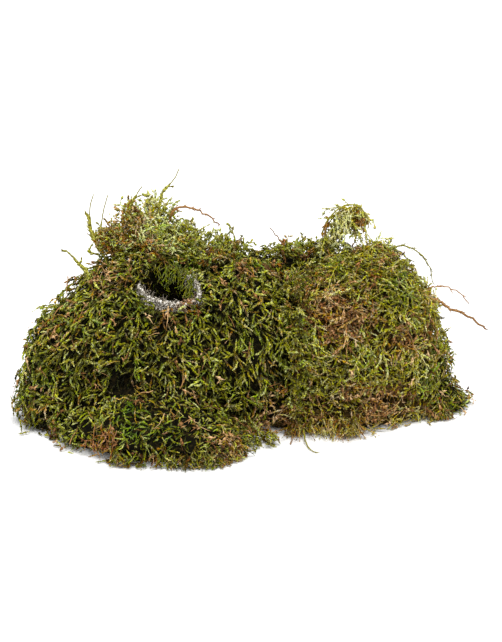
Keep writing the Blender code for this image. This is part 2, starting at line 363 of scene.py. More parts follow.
def leaves(tangle, paths, strand, marks, number, length, width, spread=(26, 9), start=0.08, stop=0.97):
    """Small pointed leaves, each a keeled blade of four faces, set round every path on a spiral."""
    count = len(paths)
    spots = np.linspace(start, stop, number)
    place, along, across, over = stations_on(paths, spots)
    turn = np.arange(number) * GOLDEN_ANGLE + chance(count, 0, math.tau)
    turn = (turn + rng.normal(0, 0.3, (count, number)))[:, :, None]
    out = across * np.cos(turn) + over * np.sin(turn)
    side = over * np.cos(turn) - across * np.sin(turn)
    lean = np.radians(np.linspace(*spread, number) + rng.normal(0, 6, (count, number)))[:, :, None]
    ahead = along * np.cos(lean) + out * np.sin(lean)
    face = out * np.cos(lean) - along * np.sin(lean)
    size = 1 - 0.42 * smooth_step(spots, 0.35, 1.0) - 0.25 * (1 - smooth_step(spots, 0, 0.25))
    size = (size * rng.uniform(0.8, 1.2, (count, number)))[:, :, None]
    blade = np.asarray(length)[..., None] * size
    half = np.asarray(width)[..., None] * size / 2
    root = place + out * half * 0.1
    middle = root + ahead * blade * 0.4 - face * half * 0.55
    tip = root + ahead * blade - face * blade * 0.06
    points = np.stack((root, middle + side * half, middle - side * half, tip), axis=2)
    faces = np.array([(0, 1, 3), (0, 3, 2), (0, 2, 1), (1, 2, 3)])
    whole = (faces[None] + 4 * np.arange(number)[:, None, None]).reshape(-1, 3)
    reach = 0.12  # of a leaf, in the strand's cell of the texture
    spot_u = (spots[:, None] + reach * np.array((0, 0.4, 0.4, 1))).reshape(-1)
    spot_v = np.tile((0.5, 0.85, 0.15, 0.5), number)
    told = {}
    for name, value in marks.items():
        told[name] = np.repeat(np.broadcast_to(value, (count, 1)), number * 4, axis=1)
    told["along"] = np.broadcast_to(np.clip(spot_u, 0, 1), (count, number * 4))
    mottle = np.repeat(rng.normal(0, 0.09, (count, number)), 4, axis=1)
    told["shade"] = np.clip(told["shade"] + mottle, 0, 1)
    cell = np.stack((np.clip(spot_u / (1 + reach), 0, 1), spot_v), axis=1)
    tangle.add(points.reshape(count, number * 4, 3), whole, cell, told, strand)


def shoots(tangle, paths, marks, radius, number, length, width, **leaf_options):
    """Leafy shoots on the paths."""
    strand = stalk(tangle, paths, radius, marks)
    leaves(tangle, paths, strand, marks, number, length, width, **leaf_options)


def make_mesh(name, tangle, keep=None):
    """One mesh from the faces of a tangle, with its marks, its texture cells and smooth shading."""
    points = np.concatenate(tangle.points)
    points[:, 2] = np.maximum(points[:, 2], FLOOR_GAP)
    faces = np.concatenate(tangle.faces)
    spots = np.concatenate(tangle.spots)
    strands = np.concatenate(tangle.strands)
    marks = {mark: np.concatenate(values) for mark, values in tangle.marks.items()}
    if keep is not None:
        faces = faces[keep[strands[faces[:, 0]]]]
        used, faces = np.unique(faces, return_inverse=True)
        faces = faces.reshape(-1, 3)
        points = points[used]
        spots = spots[used]
        strands = np.unique(strands[used], return_inverse=True)[1].reshape(-1)
        marks = {mark: values[used] for mark, values in marks.items()}
    mesh = bpy.data.meshes.new(name)
    mesh.vertices.add(len(points))
    mesh.vertices.foreach_set("co", points.astype(np.float32).ravel())
    mesh.loops.add(faces.size)
    mesh.loops.foreach_set("vertex_index", faces.astype(np.int32).ravel())
    mesh.polygons.add(len(faces))
    mesh.polygons.foreach_set("loop_start", np.arange(0, faces.size, 3, dtype=np.int32))
    mesh.update(calc_edges=True)
    for mark, values in marks.items():
        layer = mesh.attributes.new(mark, "FLOAT", "POINT")
        layer.data.foreach_set("value", values.astype(np.float32))
    across = math.ceil(math.sqrt(strands.max() + 1))
    cells = np.stack((strands % across, strands // across), axis=1)
    place = (cells + 0.1 + 0.8 * np.clip(spots, 0, 1)) / across
    layer = mesh.uv_layers.new(name="OFBake")
    layer.data.foreach_set("uv", place[faces.ravel()].astype(np.float32).ravel())
    mesh.polygons.foreach_set("use_smooth", np.ones(len(faces), bool))
    mesh.validate()
    return mesh


def place_piece(name, mesh, material, slot, *nodes):
    """Links a mesh as a piece of the moss that stands for some CAD nodes."""
    piece = bpy.data.objects.new(name, mesh)
    bpy.context.scene.collection.objects.link(piece)
    mesh.materials.clear()
    mesh.materials.append(material)
    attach(piece, BODY)
    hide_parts(*nodes)


def place_tangle(name, tangle, material, slot, *nodes):
    """Makes a tangle into as few pieces as the most faces allow, split from left to right."""
    total = sum(len(faces) for faces in tangle.faces)
    parts = math.ceil(total / MOST_FACES)
    if parts == 1:
        place_piece(name, make_mesh(name, tangle), material, slot, *nodes)
        return
    points = np.concatenate(tangle.points)
    strands = np.concatenate(tangle.strands)
    place = np.zeros(tangle.strand_total)
    place[strands] = points[:, 0]
    weight = np.bincount(strands, minlength=tangle.strand_total)
    order = np.argsort(place)
    share = np.cumsum(weight[order]) / weight.sum()
    part_of = np.zeros(tangle.strand_total, int)
    part_of[order] = np.minimum((share * parts).astype(int), parts - 1)
    for part in range(parts):
        label = f"{name}_{part + 1}"
        place_piece(label, make_mesh(label, tangle, part_of == part), material, slot, *nodes)


def place_moss(name, tangle, slot, node):
    """Places a tangle in its slot's moss material."""
    place_tangle(name, tangle, MOSSES[slot], slot, node)


# ---- materials


def linear(value):
    """An sRGB value from 0 to 1 as a linear one."""
    return value / 12.92 if value <= 0.04045 else ((value + 0.055) / 1.055) ** 2.4


def add_node(tree, kind):
    """A new node, set out to the left of the ones before it."""
    node = tree.nodes.new(kind)
    node.location = (-200 * len(tree.nodes), 0)
    return node


def feed(tree, socket, value):
    """Gives an input socket the output of another node, or a plain value."""
    if isinstance(value, bpy.types.NodeSocket):
        tree.links.new(value, socket)
    else:
        socket.default_value = value


def ramp_node(tree, fac, colours):
    """A colour ramp through evenly spaced colours, given as sRGB 0 to 255."""
    node = add_node(tree, "ShaderNodeValToRGB")
    elements = node.color_ramp.elements
    while len(elements) < len(colours):
        elements.new(0.5)
    for k, colour in enumerate(colours):
        elements[k].position = k / (len(colours) - 1)
        elements[k].color = (*[linear(c / 255) for c in colour], 1)
    feed(tree, node.inputs["Fac"], fac)
    return node.outputs["Color"]


def mark_node(tree, name):
    """The value of one of the strands' marks."""
    node = add_node(tree, "ShaderNodeAttribute")
    node.attribute_name = name
    return node.outputs["Fac"]


def weighted(tree, offset, *parts, clamp=True):
    """The offset plus each socket times its weight, kept between 0 and 1 where clamp says so."""
    total = offset
    for part in parts:
        node = add_node(tree, "ShaderNodeMath")
        node.operation = "MULTIPLY_ADD"
        for socket, value in zip(node.inputs, (*part, total)):
            feed(tree, socket, value)
        total = node.outputs[0]
    node.use_clamp = clamp
    return total


def mix(tree, kind, fac, a, b):
    """A Mix node for colours."""
    node = add_node(tree, "ShaderNodeMix")
    node.data_type = "RGBA"
    node.blend_type = kind
    for k, value in ((0, fac), (6, a), (7, b)):
        feed(tree, node.inputs[k], value)
    return node.outputs[2]


def noise_node(tree, size, detail=3):
    """Noise with features of about that size in metres, fixed to the object."""
    place = add_node(tree, "ShaderNodeTexCoord")
    node = add_node(tree, "ShaderNodeTexNoise")
    node.inputs["Scale"].default_value = 1 / size
    node.inputs["Detail"].default_value = detail
    feed(tree, node.inputs["Vector"], place.outputs["Object"])
    return node.outputs["Fac"]


def new_material(name, roughness, specular=0.3):
    """A Principled material that has no colour yet, with its tree and its shader."""
    material = bpy.data.materials.new(name)
    material.use_nodes = True
    shader = material.node_tree.nodes["Principled BSDF"]
    shader.inputs["Roughness"].default_value = roughness
    shader.inputs["Specular IOR Level"].default_value = specular
    return material, material.node_tree, shader


def coat(tree, shader, colour, height, strength, distance):
    """Gives the shader its colour, and bump from a height socket."""
    node = add_node(tree, "ShaderNodeBump")
    node.inputs["Strength"].default_value = strength
    node.inputs["Distance"].default_value = distance
    feed(tree, node.inputs["Height"], height)
    feed(tree, shader.inputs["Normal"], node.outputs["Normal"])
    feed(tree, shader.inputs["Base Color"], colour)


# Ramps from dark to light, as sRGB 0 to 255.
OTHER_COLOURS = {
    "fresh": [(28, 36, 4), (68, 90, 10), (112, 136, 26), (168, 188, 72)],
    "dry": [(58, 36, 14), (114, 80, 38), (164, 126, 72), (206, 170, 116), (228, 202, 156)],
    "rust": [(58, 32, 12), (120, 76, 36), (172, 118, 64), (206, 160, 108)],
}
STEM_COLOURS = {
    "green_stem": [(74, 60, 14), (122, 112, 30), (162, 158, 52), (200, 198, 98)],
    "brown_stem": [(56, 34, 14), (116, 78, 36), (170, 124, 66), (210, 172, 116)],
    "straw": [(76, 46, 20), (138, 94, 48), (186, 140, 86), (222, 186, 136)],
}
# Litter of the cores: near black in part as painted shade for the gaps between shoots, with lighter painted
# shade for the looser mats.
LITTER_COLOURS = {
    "litter_heavy_painted_shade": [(5, 4, 1), (10, 9, 2), (24, 20, 6), (50, 40, 14), (92, 72, 32)],
    "litter_light_painted_shade": [(22, 15, 5), (42, 31, 11), (68, 52, 22), (98, 78, 38), (136, 112, 64)],
}
CRUST_COLOURS = [(40, 32, 22), (104, 94, 78), (168, 158, 140), (216, 210, 198), (238, 234, 226)]
GREENS = {
    "olive_moss": [(32, 28, 5), (78, 74, 19), (126, 123, 41), (179, 179, 82), (220, 221, 138)],
    "fresh_moss": [(38, 34, 7), (88, 84, 24), (136, 134, 48), (184, 184, 86), (220, 222, 138)],
    "mixed_moss": [(64, 52, 12), (116, 104, 34), (162, 151, 62), (202, 195, 102), (228, 226, 158)],
    "straw_moss": [(84, 66, 24), (142, 122, 54), (186, 166, 86), (216, 202, 126), (236, 228, 170)],
    "pale_moss": [(76, 62, 14), (132, 121, 40), (176, 171, 74), (212, 211, 120), (236, 238, 174)],
}


def vary(tree, colour):
    """The colour, more or less vivid and turned a little to green or to brown from shoot to shoot."""
    turn = noise_node(tree, 4.5 * MM, 2)
    vivid = noise_node(tree, 2.2 * MM, 2)
    node = add_node(tree, "ShaderNodeHueSaturation")
    feed(tree, node.inputs["Hue"], weighted(tree, 0.432, (turn, 0.14), clamp=False))
    feed(tree, node.inputs["Saturation"], weighted(tree, 0.08, (vivid, 1.95), clamp=False))
    feed(tree, node.inputs["Color"], colour)
    return node.outputs["Color"]


def moss_material(name, greens):
    """Leafy shoots: darker and browner at the root, brighter at the tip, mottled from leaf to leaf, and
    darkened with painted shade where they lie under the surface.
    """
    material, tree, shader = new_material(name, 0.6, 0.16)
    shade = mark_node(tree, "shade")
    along = mark_node(tree, "along")
    leaf = noise_node(tree, 1.6 * MM)
    tone = weighted(tree, -0.3, (shade, 1.0), (along, 0.34), (leaf, 0.36))
    colour = ramp_node(tree, tone, greens)
    for mark, colours in OTHER_COLOURS.items():
        colour = mix(tree, "MIX", mark_node(tree, mark), colour, ramp_node(tree, tone, colours))
    # Painted shade: the colour is multiplied darker where a strand lies under the surface.
    dark = weighted(tree, 1.0, (mark_node(tree, "deep"), -0.86))
    colour = mix(tree, "MULTIPLY", 1.0, vary(tree, colour), dark)
    coat(tree, shader, colour, leaf, 0.35, 0.3 * MM)
    return material


def litter_material(name, colours):
    """The core under the shoots: rotted leaves and old stems, dark brown with paler shreds, and near black
    where its colour is painted shade for the gaps between the shoots.
    """
    material, tree, shader = new_material(name, 0.9, 0.1)
    coarse = noise_node(tree, 2.6 * MM, 5)
    fine = noise_node(tree, 0.8 * MM)
    colour = ramp_node(tree, weighted(tree, -0.95, (coarse, 1.9), (fine, 0.8)), colours)
    coat(tree, shader, colour, fine, 0.9, 1.2 * MM)
    return material


def stem_material(name, colours):
    """Bare stems: streaked along their length, darker towards the tip, redder where they are rusty."""
    material, tree, shader = new_material(name, 0.5)
    shade = mark_node(tree, "shade")
    along = mark_node(tree, "along")
    streak = noise_node(tree, 1.1 * MM)
    tone = weighted(tree, -0.12, (shade, 1.0), (streak, 0.55), (along, -0.28))
    colour = mix(tree, "MIX", mark_node(tree, "rust"), ramp_node(tree, tone, colours), (0.36, 0.13, 0.04, 1))
    coat(tree, shader, colour, streak, 0.5, 0.25 * MM)
    return material


def crust_material():
    """The crust on the hollow's rim: grey-white grains, dark pores, and a brown stain where it is rusty."""
    material, tree, shader = new_material("pale_crust", 0.85, 0.2)
    grain = noise_node(tree, 0.9 * MM, 4)
    tone = weighted(tree, -0.32, (grain, 0.9), (mark_node(tree, "shade"), 1.0))
    stain = ramp_node(tree, tone, OTHER_COLOURS["rust"])
    colour = mix(tree, "MIX", mark_node(tree, "rust"), ramp_node(tree, tone, CRUST_COLOURS), stain)
    coat(tree, shader, colour, grain, 0.8, 0.5 * MM)
    return material


MOSSES = {slot: moss_material(slot, greens) for slot, greens in GREENS.items()}
LITTERS = {name: litter_material(name, colours) for name, colours in LITTER_COLOURS.items()}
STEMS = {name: stem_material(name, colours) for name, colours in STEM_COLOURS.items()}
CRUST = crust_material()


# ---- the cores


def skin():
    """The open surface of all mats together: a tree of it, its points, the way out, and the core's depth."""
    points = []
    normals = []
    depths = []
    for node in MATS:
        spots, out = scatter(SURFACES[node], SKIN_SPACING)
        bare = (distances(NEIGHBOURS[node], spots) > CONTACT) & ~underside(spots, out)
        depth = np.full(len(spots), CORE_DEPTH[node] * MM)
        if node == "front_mat":
            depth[hollow_nearness(spots) < 1.1] = HOLLOW_CORE_DEPTH
        points.append(spots[bare])
        normals.append(out[bare])
        depths.append(depth[bare])
    points = np.concatenate(points)
    tree = KDTree(len(points))
    for k, point in enumerate(points):
        tree.insert(point, k)
    tree.balance()
    return tree, points, np.concatenate(normals), np.concatenate(depths)


def core_mesh(node, tree, skin_points, skin_normals, skin_depths):
    """A mat's core: its form, pushed in wherever it comes closer to the open air than its depth."""
    source = bmesh.new()
    source.from_mesh(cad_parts[node].data)
    bmesh.ops.remove_doubles(source, verts=source.verts, dist=1e-6)
    mesh = bpy.data.meshes.new(f"{node}_form")
    source.to_mesh(mesh)
    source.free()
    form = bpy.data.objects.new(f"{node}_form", mesh)
    bpy.context.scene.collection.objects.link(form)
    remesh = form.modifiers.new("even", "REMESH")
    remesh.mode = "VOXEL"
    remesh.voxel_size = CORE_VOXEL
    evaluated = form.evaluated_get(bpy.context.evaluated_depsgraph_get())
    core = bpy.data.meshes.new_from_object(evaluated)
    core.name = f"{node}_core"
    bpy.data.objects.remove(form)
    points = np.zeros(len(core.vertices) * 3)
    core.vertices.foreach_get("co", points)
    points = points.reshape(-1, 3)
    near = np.array([[hit[1] for hit in tree.find_n(point, CORE_NEIGHBOURS)] for point in points])
    out = unit(skin_normals[near].mean(axis=1))
    under = dot(skin_points[near].mean(axis=1) - points, out)[:, 0]
    rough = 1 + 0.35 * field(points, 9 * MM, 1) + 0.3 * field(points, 3.5 * MM, 2)
    depth = skin_depths[near].mean(axis=1) * rough
    depth += CORE_TUCK * (1 - smooth_step(points[:, 2], 2 * MM, 11 * MM))
    push = np.clip(depth - CORE_FOLLOWS * relief(points)[:, 0] - under, 0, None)
    away = np.linalg.norm(skin_points[near[:, 0]] - points, axis=1)
    push *= 1 - smooth_step(away, 10 * MM, 20 * MM)
    inward = -out * push[:, None]
    inward[:, 2] *= smooth_step(points[:, 2], 0, 8 * MM)
    points = points + inward
    points[:, 2] = np.maximum(points[:, 2], FLOOR_GAP)
    core.vertices.foreach_set("co", points.ravel())
    core.polygons.foreach_set("use_smooth", np.ones(len(core.polygons), bool))
    core.update()
    return core


def make_cores():
    """The core of each mat, its litter darkened with painted shade. The looser mats have a paler one, with
    lighter painted shade.
    """
    open_skin = skin()
    for node in MATS:
        litter = LITTERS["litter_light_painted_shade" if node in ("right_mat", "toe_mat") else "litter_heavy_painted_shade"]
        place_piece(f"{node}_core", core_mesh(node, *open_skin), litter, SLOTS[node], node)


# ---- shoots on mats


def mat_places(node, spacing):
    """Where shoots end on a mat: open to the air, off its underside and outside the hollow."""
    points, normals = scatter(SURFACES[node], spacing)
    clear = distances(NEIGHBOURS[node], points) > CONTACT
    hollow = (hollow_nearness(points) < HOLLOW_WALL) & (node == "front_mat")
    keep = clear & ~underside(points, normals) & ~hollow
    return points[keep], normals[keep]


def tussocks(points, spacing):
    """Groups points round centres: each one's group, the centres, and 0 to 1 from the centre to the edge."""
    cells = np.floor(points / spacing + rng.random(3)).astype(int)
    centres = points[np.unique(cells, axis=0, return_index=True)[1]]
    away = np.linalg.norm(points[:, None] - centres[None], axis=2)
    nearest_two = np.sort(np.partition(away, 1, axis=1)[:, :2], axis=1)
    return away.argmin(axis=1), centres, 2 * nearest_two[:, 0] / nearest_two.sum(axis=1)


def lay(points, normals, droop, swirl, scatter_turn, group=None, centres=None):
    """The way that shoots lie: down the slope, turned by a slow swirl, by their tussock and by chance."""
    slow = np.stack([field(points, 26 * MM, layer) for layer in (6, 7, 8)], axis=1)
    way = -UP * droop + slow * swirl + rng.normal(0, scatter_turn, points.shape)
    if group is not None:
        own = rng.normal(0, 0.45, centres.shape)
        way += own[group] + 0.5 * unit(points - centres[group])
    return unit(way - normals * dot(way, normals))


def lying_paths(points, normals, way, length, lift, height, stations):
    """Paths that rise inside a mat and bend over, so that their tips end at a height over its surface."""
    count = len(points)
    rise = np.radians(lift) + rng.normal(0, 0.2, (count, 1))
    head = way * np.cos(rise) + normals * np.sin(rise)
    bend = -normals * 0.45 * np.sin(rise) - UP * 0.12 + rng.normal(0, 0.16, (count, 3))
    bend += np.cross(normals, way) * rng.normal(0, 0.38, (count, 1))
    steps = np.linspace(0, 1, stations)[None, :, None]
    run = length[:, :, None] * (head[:, None] * steps + bend[:, None] * steps**2)
    tip = run[:, -1]
    root = points - way * dot(tip, way) * 0.6 + normals * (height - dot(tip, normals))
    paths = root[:, None] + run
    paths[:, :, 2] = np.maximum(paths[:, :, 2], 1.2 * MM)
    return paths


def marks_for(points, normals, paths, base_shade, spread, painted_shade_strength=0.85):
    """The marks of strands that belong to these points of the surface."""
    marks = patch_marks(points)
    slow = field(points, 20 * MM, 3)
    # The dim patches are painted shade in creases and crevices: they lower the tone here.
    shade = base_shade + 0.17 * slow + rng.normal(0, spread, len(points)) - 0.35 * marks["painted_crease_shade"]
    # Painted shade: a strand is darker the further its middle lies under the surface, and darker still in
    # the dim patches.
    middle = paths[:, paths.shape[1] // 2]
    under = -dot(middle - points, normals)[:, 0]
    deep = smooth_step(under, 0.5 * MM, 6.5 * MM) * painted_shade_strength + 0.4 * marks["painted_crease_shade"]
    brown = smooth_step(field(points, 15 * MM, 16) + 0.5 * field(points, 6 * MM, 17), -0.05, 0.6)
    dead = rng.random(len(points)) < 0.05 + 0.34 * brown
    dry = np.maximum(marks["dry"] > rng.random(len(points)), dead * rng.uniform(0.3, 1.0, len(points)))
    rusty = rng.random(len(points)) < 0.015 + 0.08 * brown
    rust = np.maximum(marks["rust"] > rng.random(len(points)), rusty * rng.uniform(0.3, 0.9, len(points)))
    fresh = marks["fresh"] + 0.45 * field(points, 15 * MM, 9) + rng.normal(0.04, 0.22, len(points))
    return {
        "shade": np.clip(shade, 0, 1)[:, None],
        "deep": np.clip(deep, 0, 1)[:, None],
        "dry": np.asarray(dry, float)[:, None] * 0.9,
        "rust": np.asarray(rust, float)[:, None] * 0.85,
        "fresh": np.clip(fresh, 0, 0.9)[:, None],
    }


# Shoots of each mat: spacing, length range, leaf length and width, leaves on a shoot, how much they hang
# down, how much they swirl, how they scatter, and their lift in degrees.
SHOOTS = {
    "front_mat": (2.6, (4.8, 9.6), 2.5, 1.8, 9, 0.8, 0.55, 0.42, 42),
    "right_mat": (2.6, (4, 8), 2.2, 1.55, 8, 0.3, 0.7, 0.6, 40),
    "rear_mat": (3.1, (5, 9.6), 2.5, 1.8, 8, 0.6, 0.6, 0.45, 40),
    "foot_mat": (2.3, (3.8, 7.5), 1.9, 1.25, 8, 0.2, 0.7, 0.55, 46),
    "toe_mat": (2.2, (5, 10), 2.2, 1.4, 8, 0.3, 0.7, 0.6, 34),
    "tail_mat": (2.4, (4, 7.5), 1.9, 1.25, 8, 0.3, 0.7, 0.55, 38),
}


def grow_mat(node):
    """All plain shoots of one mat."""
    spacing, (short, long), leaf, width, number, droop, swirl, turn, lift = SHOOTS[node]
    points, normals = mat_places(node, spacing * MM)
    thin = field(points, 10 * MM, 12) + 0.5 * field(points, 4 * MM, 13)
    keep = rng.random(len(points)) < 0.55 + 0.45 * smooth_step(thin, -0.7, -0.1)
    points, normals = points[keep], normals[keep]
    thin = thin[keep][:, None]
    count = len(points)
    group, centres, edge = tussocks(points, TUSSOCK)
    way = lay(points, normals, droop, swirl, turn, group, centres)
    length = chance(count, short, long) * MM
    low = rng.random((count, 1)) < 0.3
    height = np.where(low, chance(count, -5.0, -2.0), rng.normal(0.2, 0.9, (count, 1))) * MM
    height -= 1.6 * MM * (1 - smooth_step(thin, -0.6, 0.1))
    height -= 2.8 * MM * smooth_step(edge, 0.55, 1.0)[:, None]
    height += rng.normal(0, 1.2 * MM, (len(centres), 1))[group]
    standing = (rng.random((count, 1)) < 0.10) & ~low
    height = np.minimum(height, 2.0 * MM) + standing * chance(count, 1, 3.5) * MM
    lift = np.where(standing, chance(count, 50, 80), lift)
    height += relief(points)
    fringe = points[:, 2:] < RIM
    way = np.where(fringe, unit(normals * (1, 1, 0) + rng.normal(0, 0.6, (count, 3)) * (1, 1, 0.2)), way)
    lift = np.where(fringe, 5, lift)
    paths = lying_paths(points, normals, way, length, lift, height, 3)
    marks = marks_for(points, normals, paths, 0.48, 0.17, PAINTED_SHADE_STRENGTH[node])
    # Painted shade: the low shoots get darker still.
    marks["deep"] = np.clip(marks["deep"] + 0.3 * PAINTED_SHADE_STRENGTH[node] * low, 0, 1)
    tangle = Tangle()
    size = np.repeat(length / (np.mean((short, long)) * MM), number, axis=1) ** 0.5
    shoots(tangle, paths, marks, 0.32 * MM, number, leaf * MM * size, width * MM * size)
    place_moss(f"{node}_shoots", tangle, SLOTS[node], node)


# ---- sprigs


def branch_paths(paths, number, reach, angle, first=0.15, last=0.92):
    """Side branches set left and right along every path, in one plane, like the barbs of a feather."""
    count = len(paths)
    spots = np.linspace(first, last, number)
    root, ahead, across, _ = stations_on(paths, spots)
    side = across * np.where(np.arange(number) % 2, 1, -1)[None, :, None]
    lean = np.radians(angle) + rng.normal(0, 0.2, (count, number, 1))
    head = ahead * np.cos(lean) + side * np.sin(lean) + rng.normal(0, 0.15, (count, number, 3))
    length = reach[:, None] * (1.05 - 0.65 * spots[None, :, None])
    length = length * rng.uniform(0.7, 1.2, (count, number, 1))
    steps = np.linspace(0, 1, 3)[None, None, :, None]
    bend = ahead * 0.25 - UP * 0.12 + rng.normal(0, 0.12, (count, number, 3))
    run = length[:, :, None] * (unit(head)[:, :, None] * steps + bend[:, :, None] * steps**2)
    return (root[:, :, None] + run).reshape(count * number, 3, 3)


def repeat_marks(marks, number):
    """The marks of branches, from those of the paths that carry them."""
    return {name: np.repeat(np.broadcast_to(v, (len(v), 1)), number, axis=0) for name, v in marks.items()}


def sprigs(tangle, paths, marks, reach, number=7, leaf=1.5, width=0.65, angle=52):
    """Feathery sprigs: a leafy stem with leafy branches on both sides."""
    shoots(tangle, paths, marks, 0.28 * MM, 10, leaf * MM, width * MM)
    side = branch_paths(paths, number, reach, angle)
    shoots(tangle, side, repeat_marks(marks, number), 0.18 * MM, 6, leaf * 0.85 * MM, width * 0.95 * MM)


def sprig_mat(node, spacing, long, reach, shade):
    """Feathery sprigs that lie over a mat."""
    points, normals = mat_places(node, spacing * MM)
    count = len(points)
    way = lay(points, normals, 0.3, 0.8, 0.7)
    length = chance(count, *long) * MM
    height = rng.normal(0.4, 1.2, (count, 1)).clip(-3, 2.4) * MM + relief(points)
    paths = lying_paths(points, normals, way, length, 26, height, 5)
    marks = marks_for(points, normals, paths, shade, 0.17, PAINTED_SHADE_STRENGTH[node])
    tangle = Tangle()
    sprigs(tangle, paths, marks, length * reach, 5, 2.3, 1.55, 58)
    place_moss(f"{node}_sprigs", tangle, SLOTS[node], node)


def reaching_paths(roots, tips, sway, stations):
    """Paths from roots to tips that leave upwards and sway on their way."""
    middle = (roots + tips) / 2 + UP * 0.22 * np.linalg.norm(tips - roots, axis=1, keepdims=True)
    middle = middle + rng.normal(0, sway, middle.shape)
    t = np.linspace(0, 1, stations)[None, :, None]
    return roots[:, None] * (1 - t) ** 2 + 2 * middle[:, None] * t * (1 - t) + tips[:, None] * t**2


def crown():
    """The airy tuft behind the hollow: sprigs that spread from its foot, shoots in it and long curls."""
    low, high = (np.array(corner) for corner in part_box("crown_tuft"))
    points, normals = scatter(SURFACES["crown_tuft"], 6.4 * MM)
    keep = (normals[:, 2] > -0.35) & (points[:, 2] > low[2] + 5 * MM)
    points, normals = points[keep], normals[keep]
    foot = (low + high) / 2
    foot[2] = low[2] + 4 * MM
    uneven = 1.0 + 0.3 * field(points, 9 * MM, 14)[:, None]
    tips = foot + (points - foot) * np.clip(uneven, 0.6, 1.22)
    roots = foot + (tips - foot) * chance(len(points), 0.1, 0.55) + rng.normal(0, 3 * MM, points.shape)
    paths = reaching_paths(roots, tips, 3.6 * MM, 5)
    marks = marks_for(points, normals, paths, 0.7, 0.22)
    # Painted shade: only a little in the airy crown.
    marks["deep"] = marks["deep"] * 0.15
    length = np.linalg.norm(tips - roots, axis=1, keepdims=True)
    tangle = Tangle()
    sprigs(tangle, paths, marks, np.clip(length * 0.5, 4 * MM, 8 * MM), 5, 2.8, 1.9, 60)
    inner, _ = scatter(SURFACES["crown_tuft"], 4.4 * MM)
    inner = foot + (inner - foot) * chance(len(inner), 0.45, 0.95)
    inner = inner[inner[:, 2] > low[2] + 4 * MM]
    count = len(inner)
    way = unit(unit(inner - foot) * 0.6 + rng.normal(0, 0.6, inner.shape))
    paths = reaching_paths(inner - way * 4 * MM, inner + way * chance(count, 1, 4) * MM, 1.6 * MM, 3)
    marks = marks_for(inner, way, paths, 0.62, 0.22)
    shoots(tangle, paths, marks, 0.32 * MM, 8, 2.5 * MM, 1.7 * MM)
    curls = 26
    roots = foot + rng.normal(0, 1, (curls, 3)) * (12, 4, 4) * MM + UP * 6 * MM
    forwards = rng.normal(-3, 5, curls) * MM
    spread = unit(np.stack((roots[:, 0] - foot[0], forwards, chance(curls, 6, 26)[:, 0] * MM), axis=1))
    tips = roots + spread * chance(curls, 14, 24) * MM
    tips[:, 2] = np.minimum(tips[:, 2], high[2] + 1 * MM)
    paths = reaching_paths(roots, tips, 5 * MM, 9)
    marks = marks_for(tips, spread, paths, 0.6, 0.2)
    shoots(tangle, paths, {**marks, "deep": marks["deep"] * 0}, 0.45 * MM, 20, 3.2 * MM, 2.0 * MM)
    place_moss("crown_tuft_sprigs", tangle, "pale_moss", "crown_tuft")


# Bunches of sprigs: the middle and half sizes of the box they are rooted in, how many, how long, the way
# they lean, and the share of rusty ones. The first hang over the seam between the front and right mats,
# the others stand on the ridge and beside the crown.
SEAM_BUNCHES = [
    ((26, -20, 92), (5, 4, 5), 24, (6, 11), (0.2, -0.8, -0.2), 0.1),
    ((26, -31, 78), (5, 4, 7), 28, (6, 11), (0.2, -0.9, -0.4), 0.1),
    ((26, -38, 62), (5, 3, 7), 28, (6, 11), (0.2, -0.9, -0.4), 0.1),
    ((27, -40, 46), (5, 3, 7), 26, (6, 11), (0.0, -0.9, -0.4), 0.15),
    ((27, -40, 30), (6, 3, 7), 24, (6, 11), (0.0, -0.9, -0.3), 0.2),
    ((6, -46, 6), (8, 6, 3), 26, (6, 13), (0.3, -1.0, -0.1), 0.25),
]
RIDGE_BUNCHES = [
    ((-20, 12, 101), (15, 5, 3), 64, (6, 11), (0.2, -0.2, 1.0), 0.1),
    ((-13, 12, 104), (4, 4, 2), 8, (7, 12), (0.1, -0.2, 1.0), 0.1),
    ((-82, 4, 112), (4, 4, 5), 16, (6, 10), (-0.9, -0.2, 0.5), 0.5),
    ((-26, 4, 98), (12, 5, 3), 34, (6, 11), (0.3, -0.5, 0.8), 0.05),
    ((28, 16, 98), (13, 5, 2), 40, (5, 9), (0.1, -0.3, 1.0), 0.08),
    ((-76, 6, 106), (6, 5, 6), 44, (7, 13), (-0.8, -0.2, 0.7), 0.4),
    ((-68, 6, 120), (5, 5, 5), 20, (7, 12), (-0.5, -0.1, 0.9), 0.4),
    ((-40, 10, 106), (6, 5, 5), 24, (7, 12), (0.7, -0.2, 0.6), 0.0),
]


def bunches(name, table, shade, slot, node):
    """Feathery sprigs in loose bunches, from a table."""
    tangle = Tangle()
    for middle, half, count, long, lean, rusty in table:
        roots = (np.array(middle) + rng.uniform(-1, 1, (count, 3)) * half - (0, 0, 3)) * MM
        way = unit(np.array(lean) + rng.normal(0, 0.5, (count, 3)))
        tips = roots + way * chance(count, *long) * MM + UP * 2 * MM
        tips[:, 2] = np.maximum(tips[:, 2], 2 * MM)
        roots[:, 2] = np.maximum(roots[:, 2], 2 * MM)
        paths = reaching_paths(roots, tips, 1.6 * MM, 5)
        # Painted shade at random, up to a third, on each sprig.
        marks = {"shade": rng.normal(shade, 0.18, (count, 1)).clip(0, 1), "deep": chance(count, 0, 0.3)}
        marks["rust"] = (rng.random((count, 1)) < rusty) * 0.8
        marks["dry"] = (rng.random((count, 1)) < 0.1) * 0.8
        marks["fresh"] = chance(count, 0, 0.5)
        sprigs(tangle, paths, marks, chance(count, 3, 5.5) * MM, 4, 2.4, 1.6, 55)
    place_moss(name, tangle, slot, node)


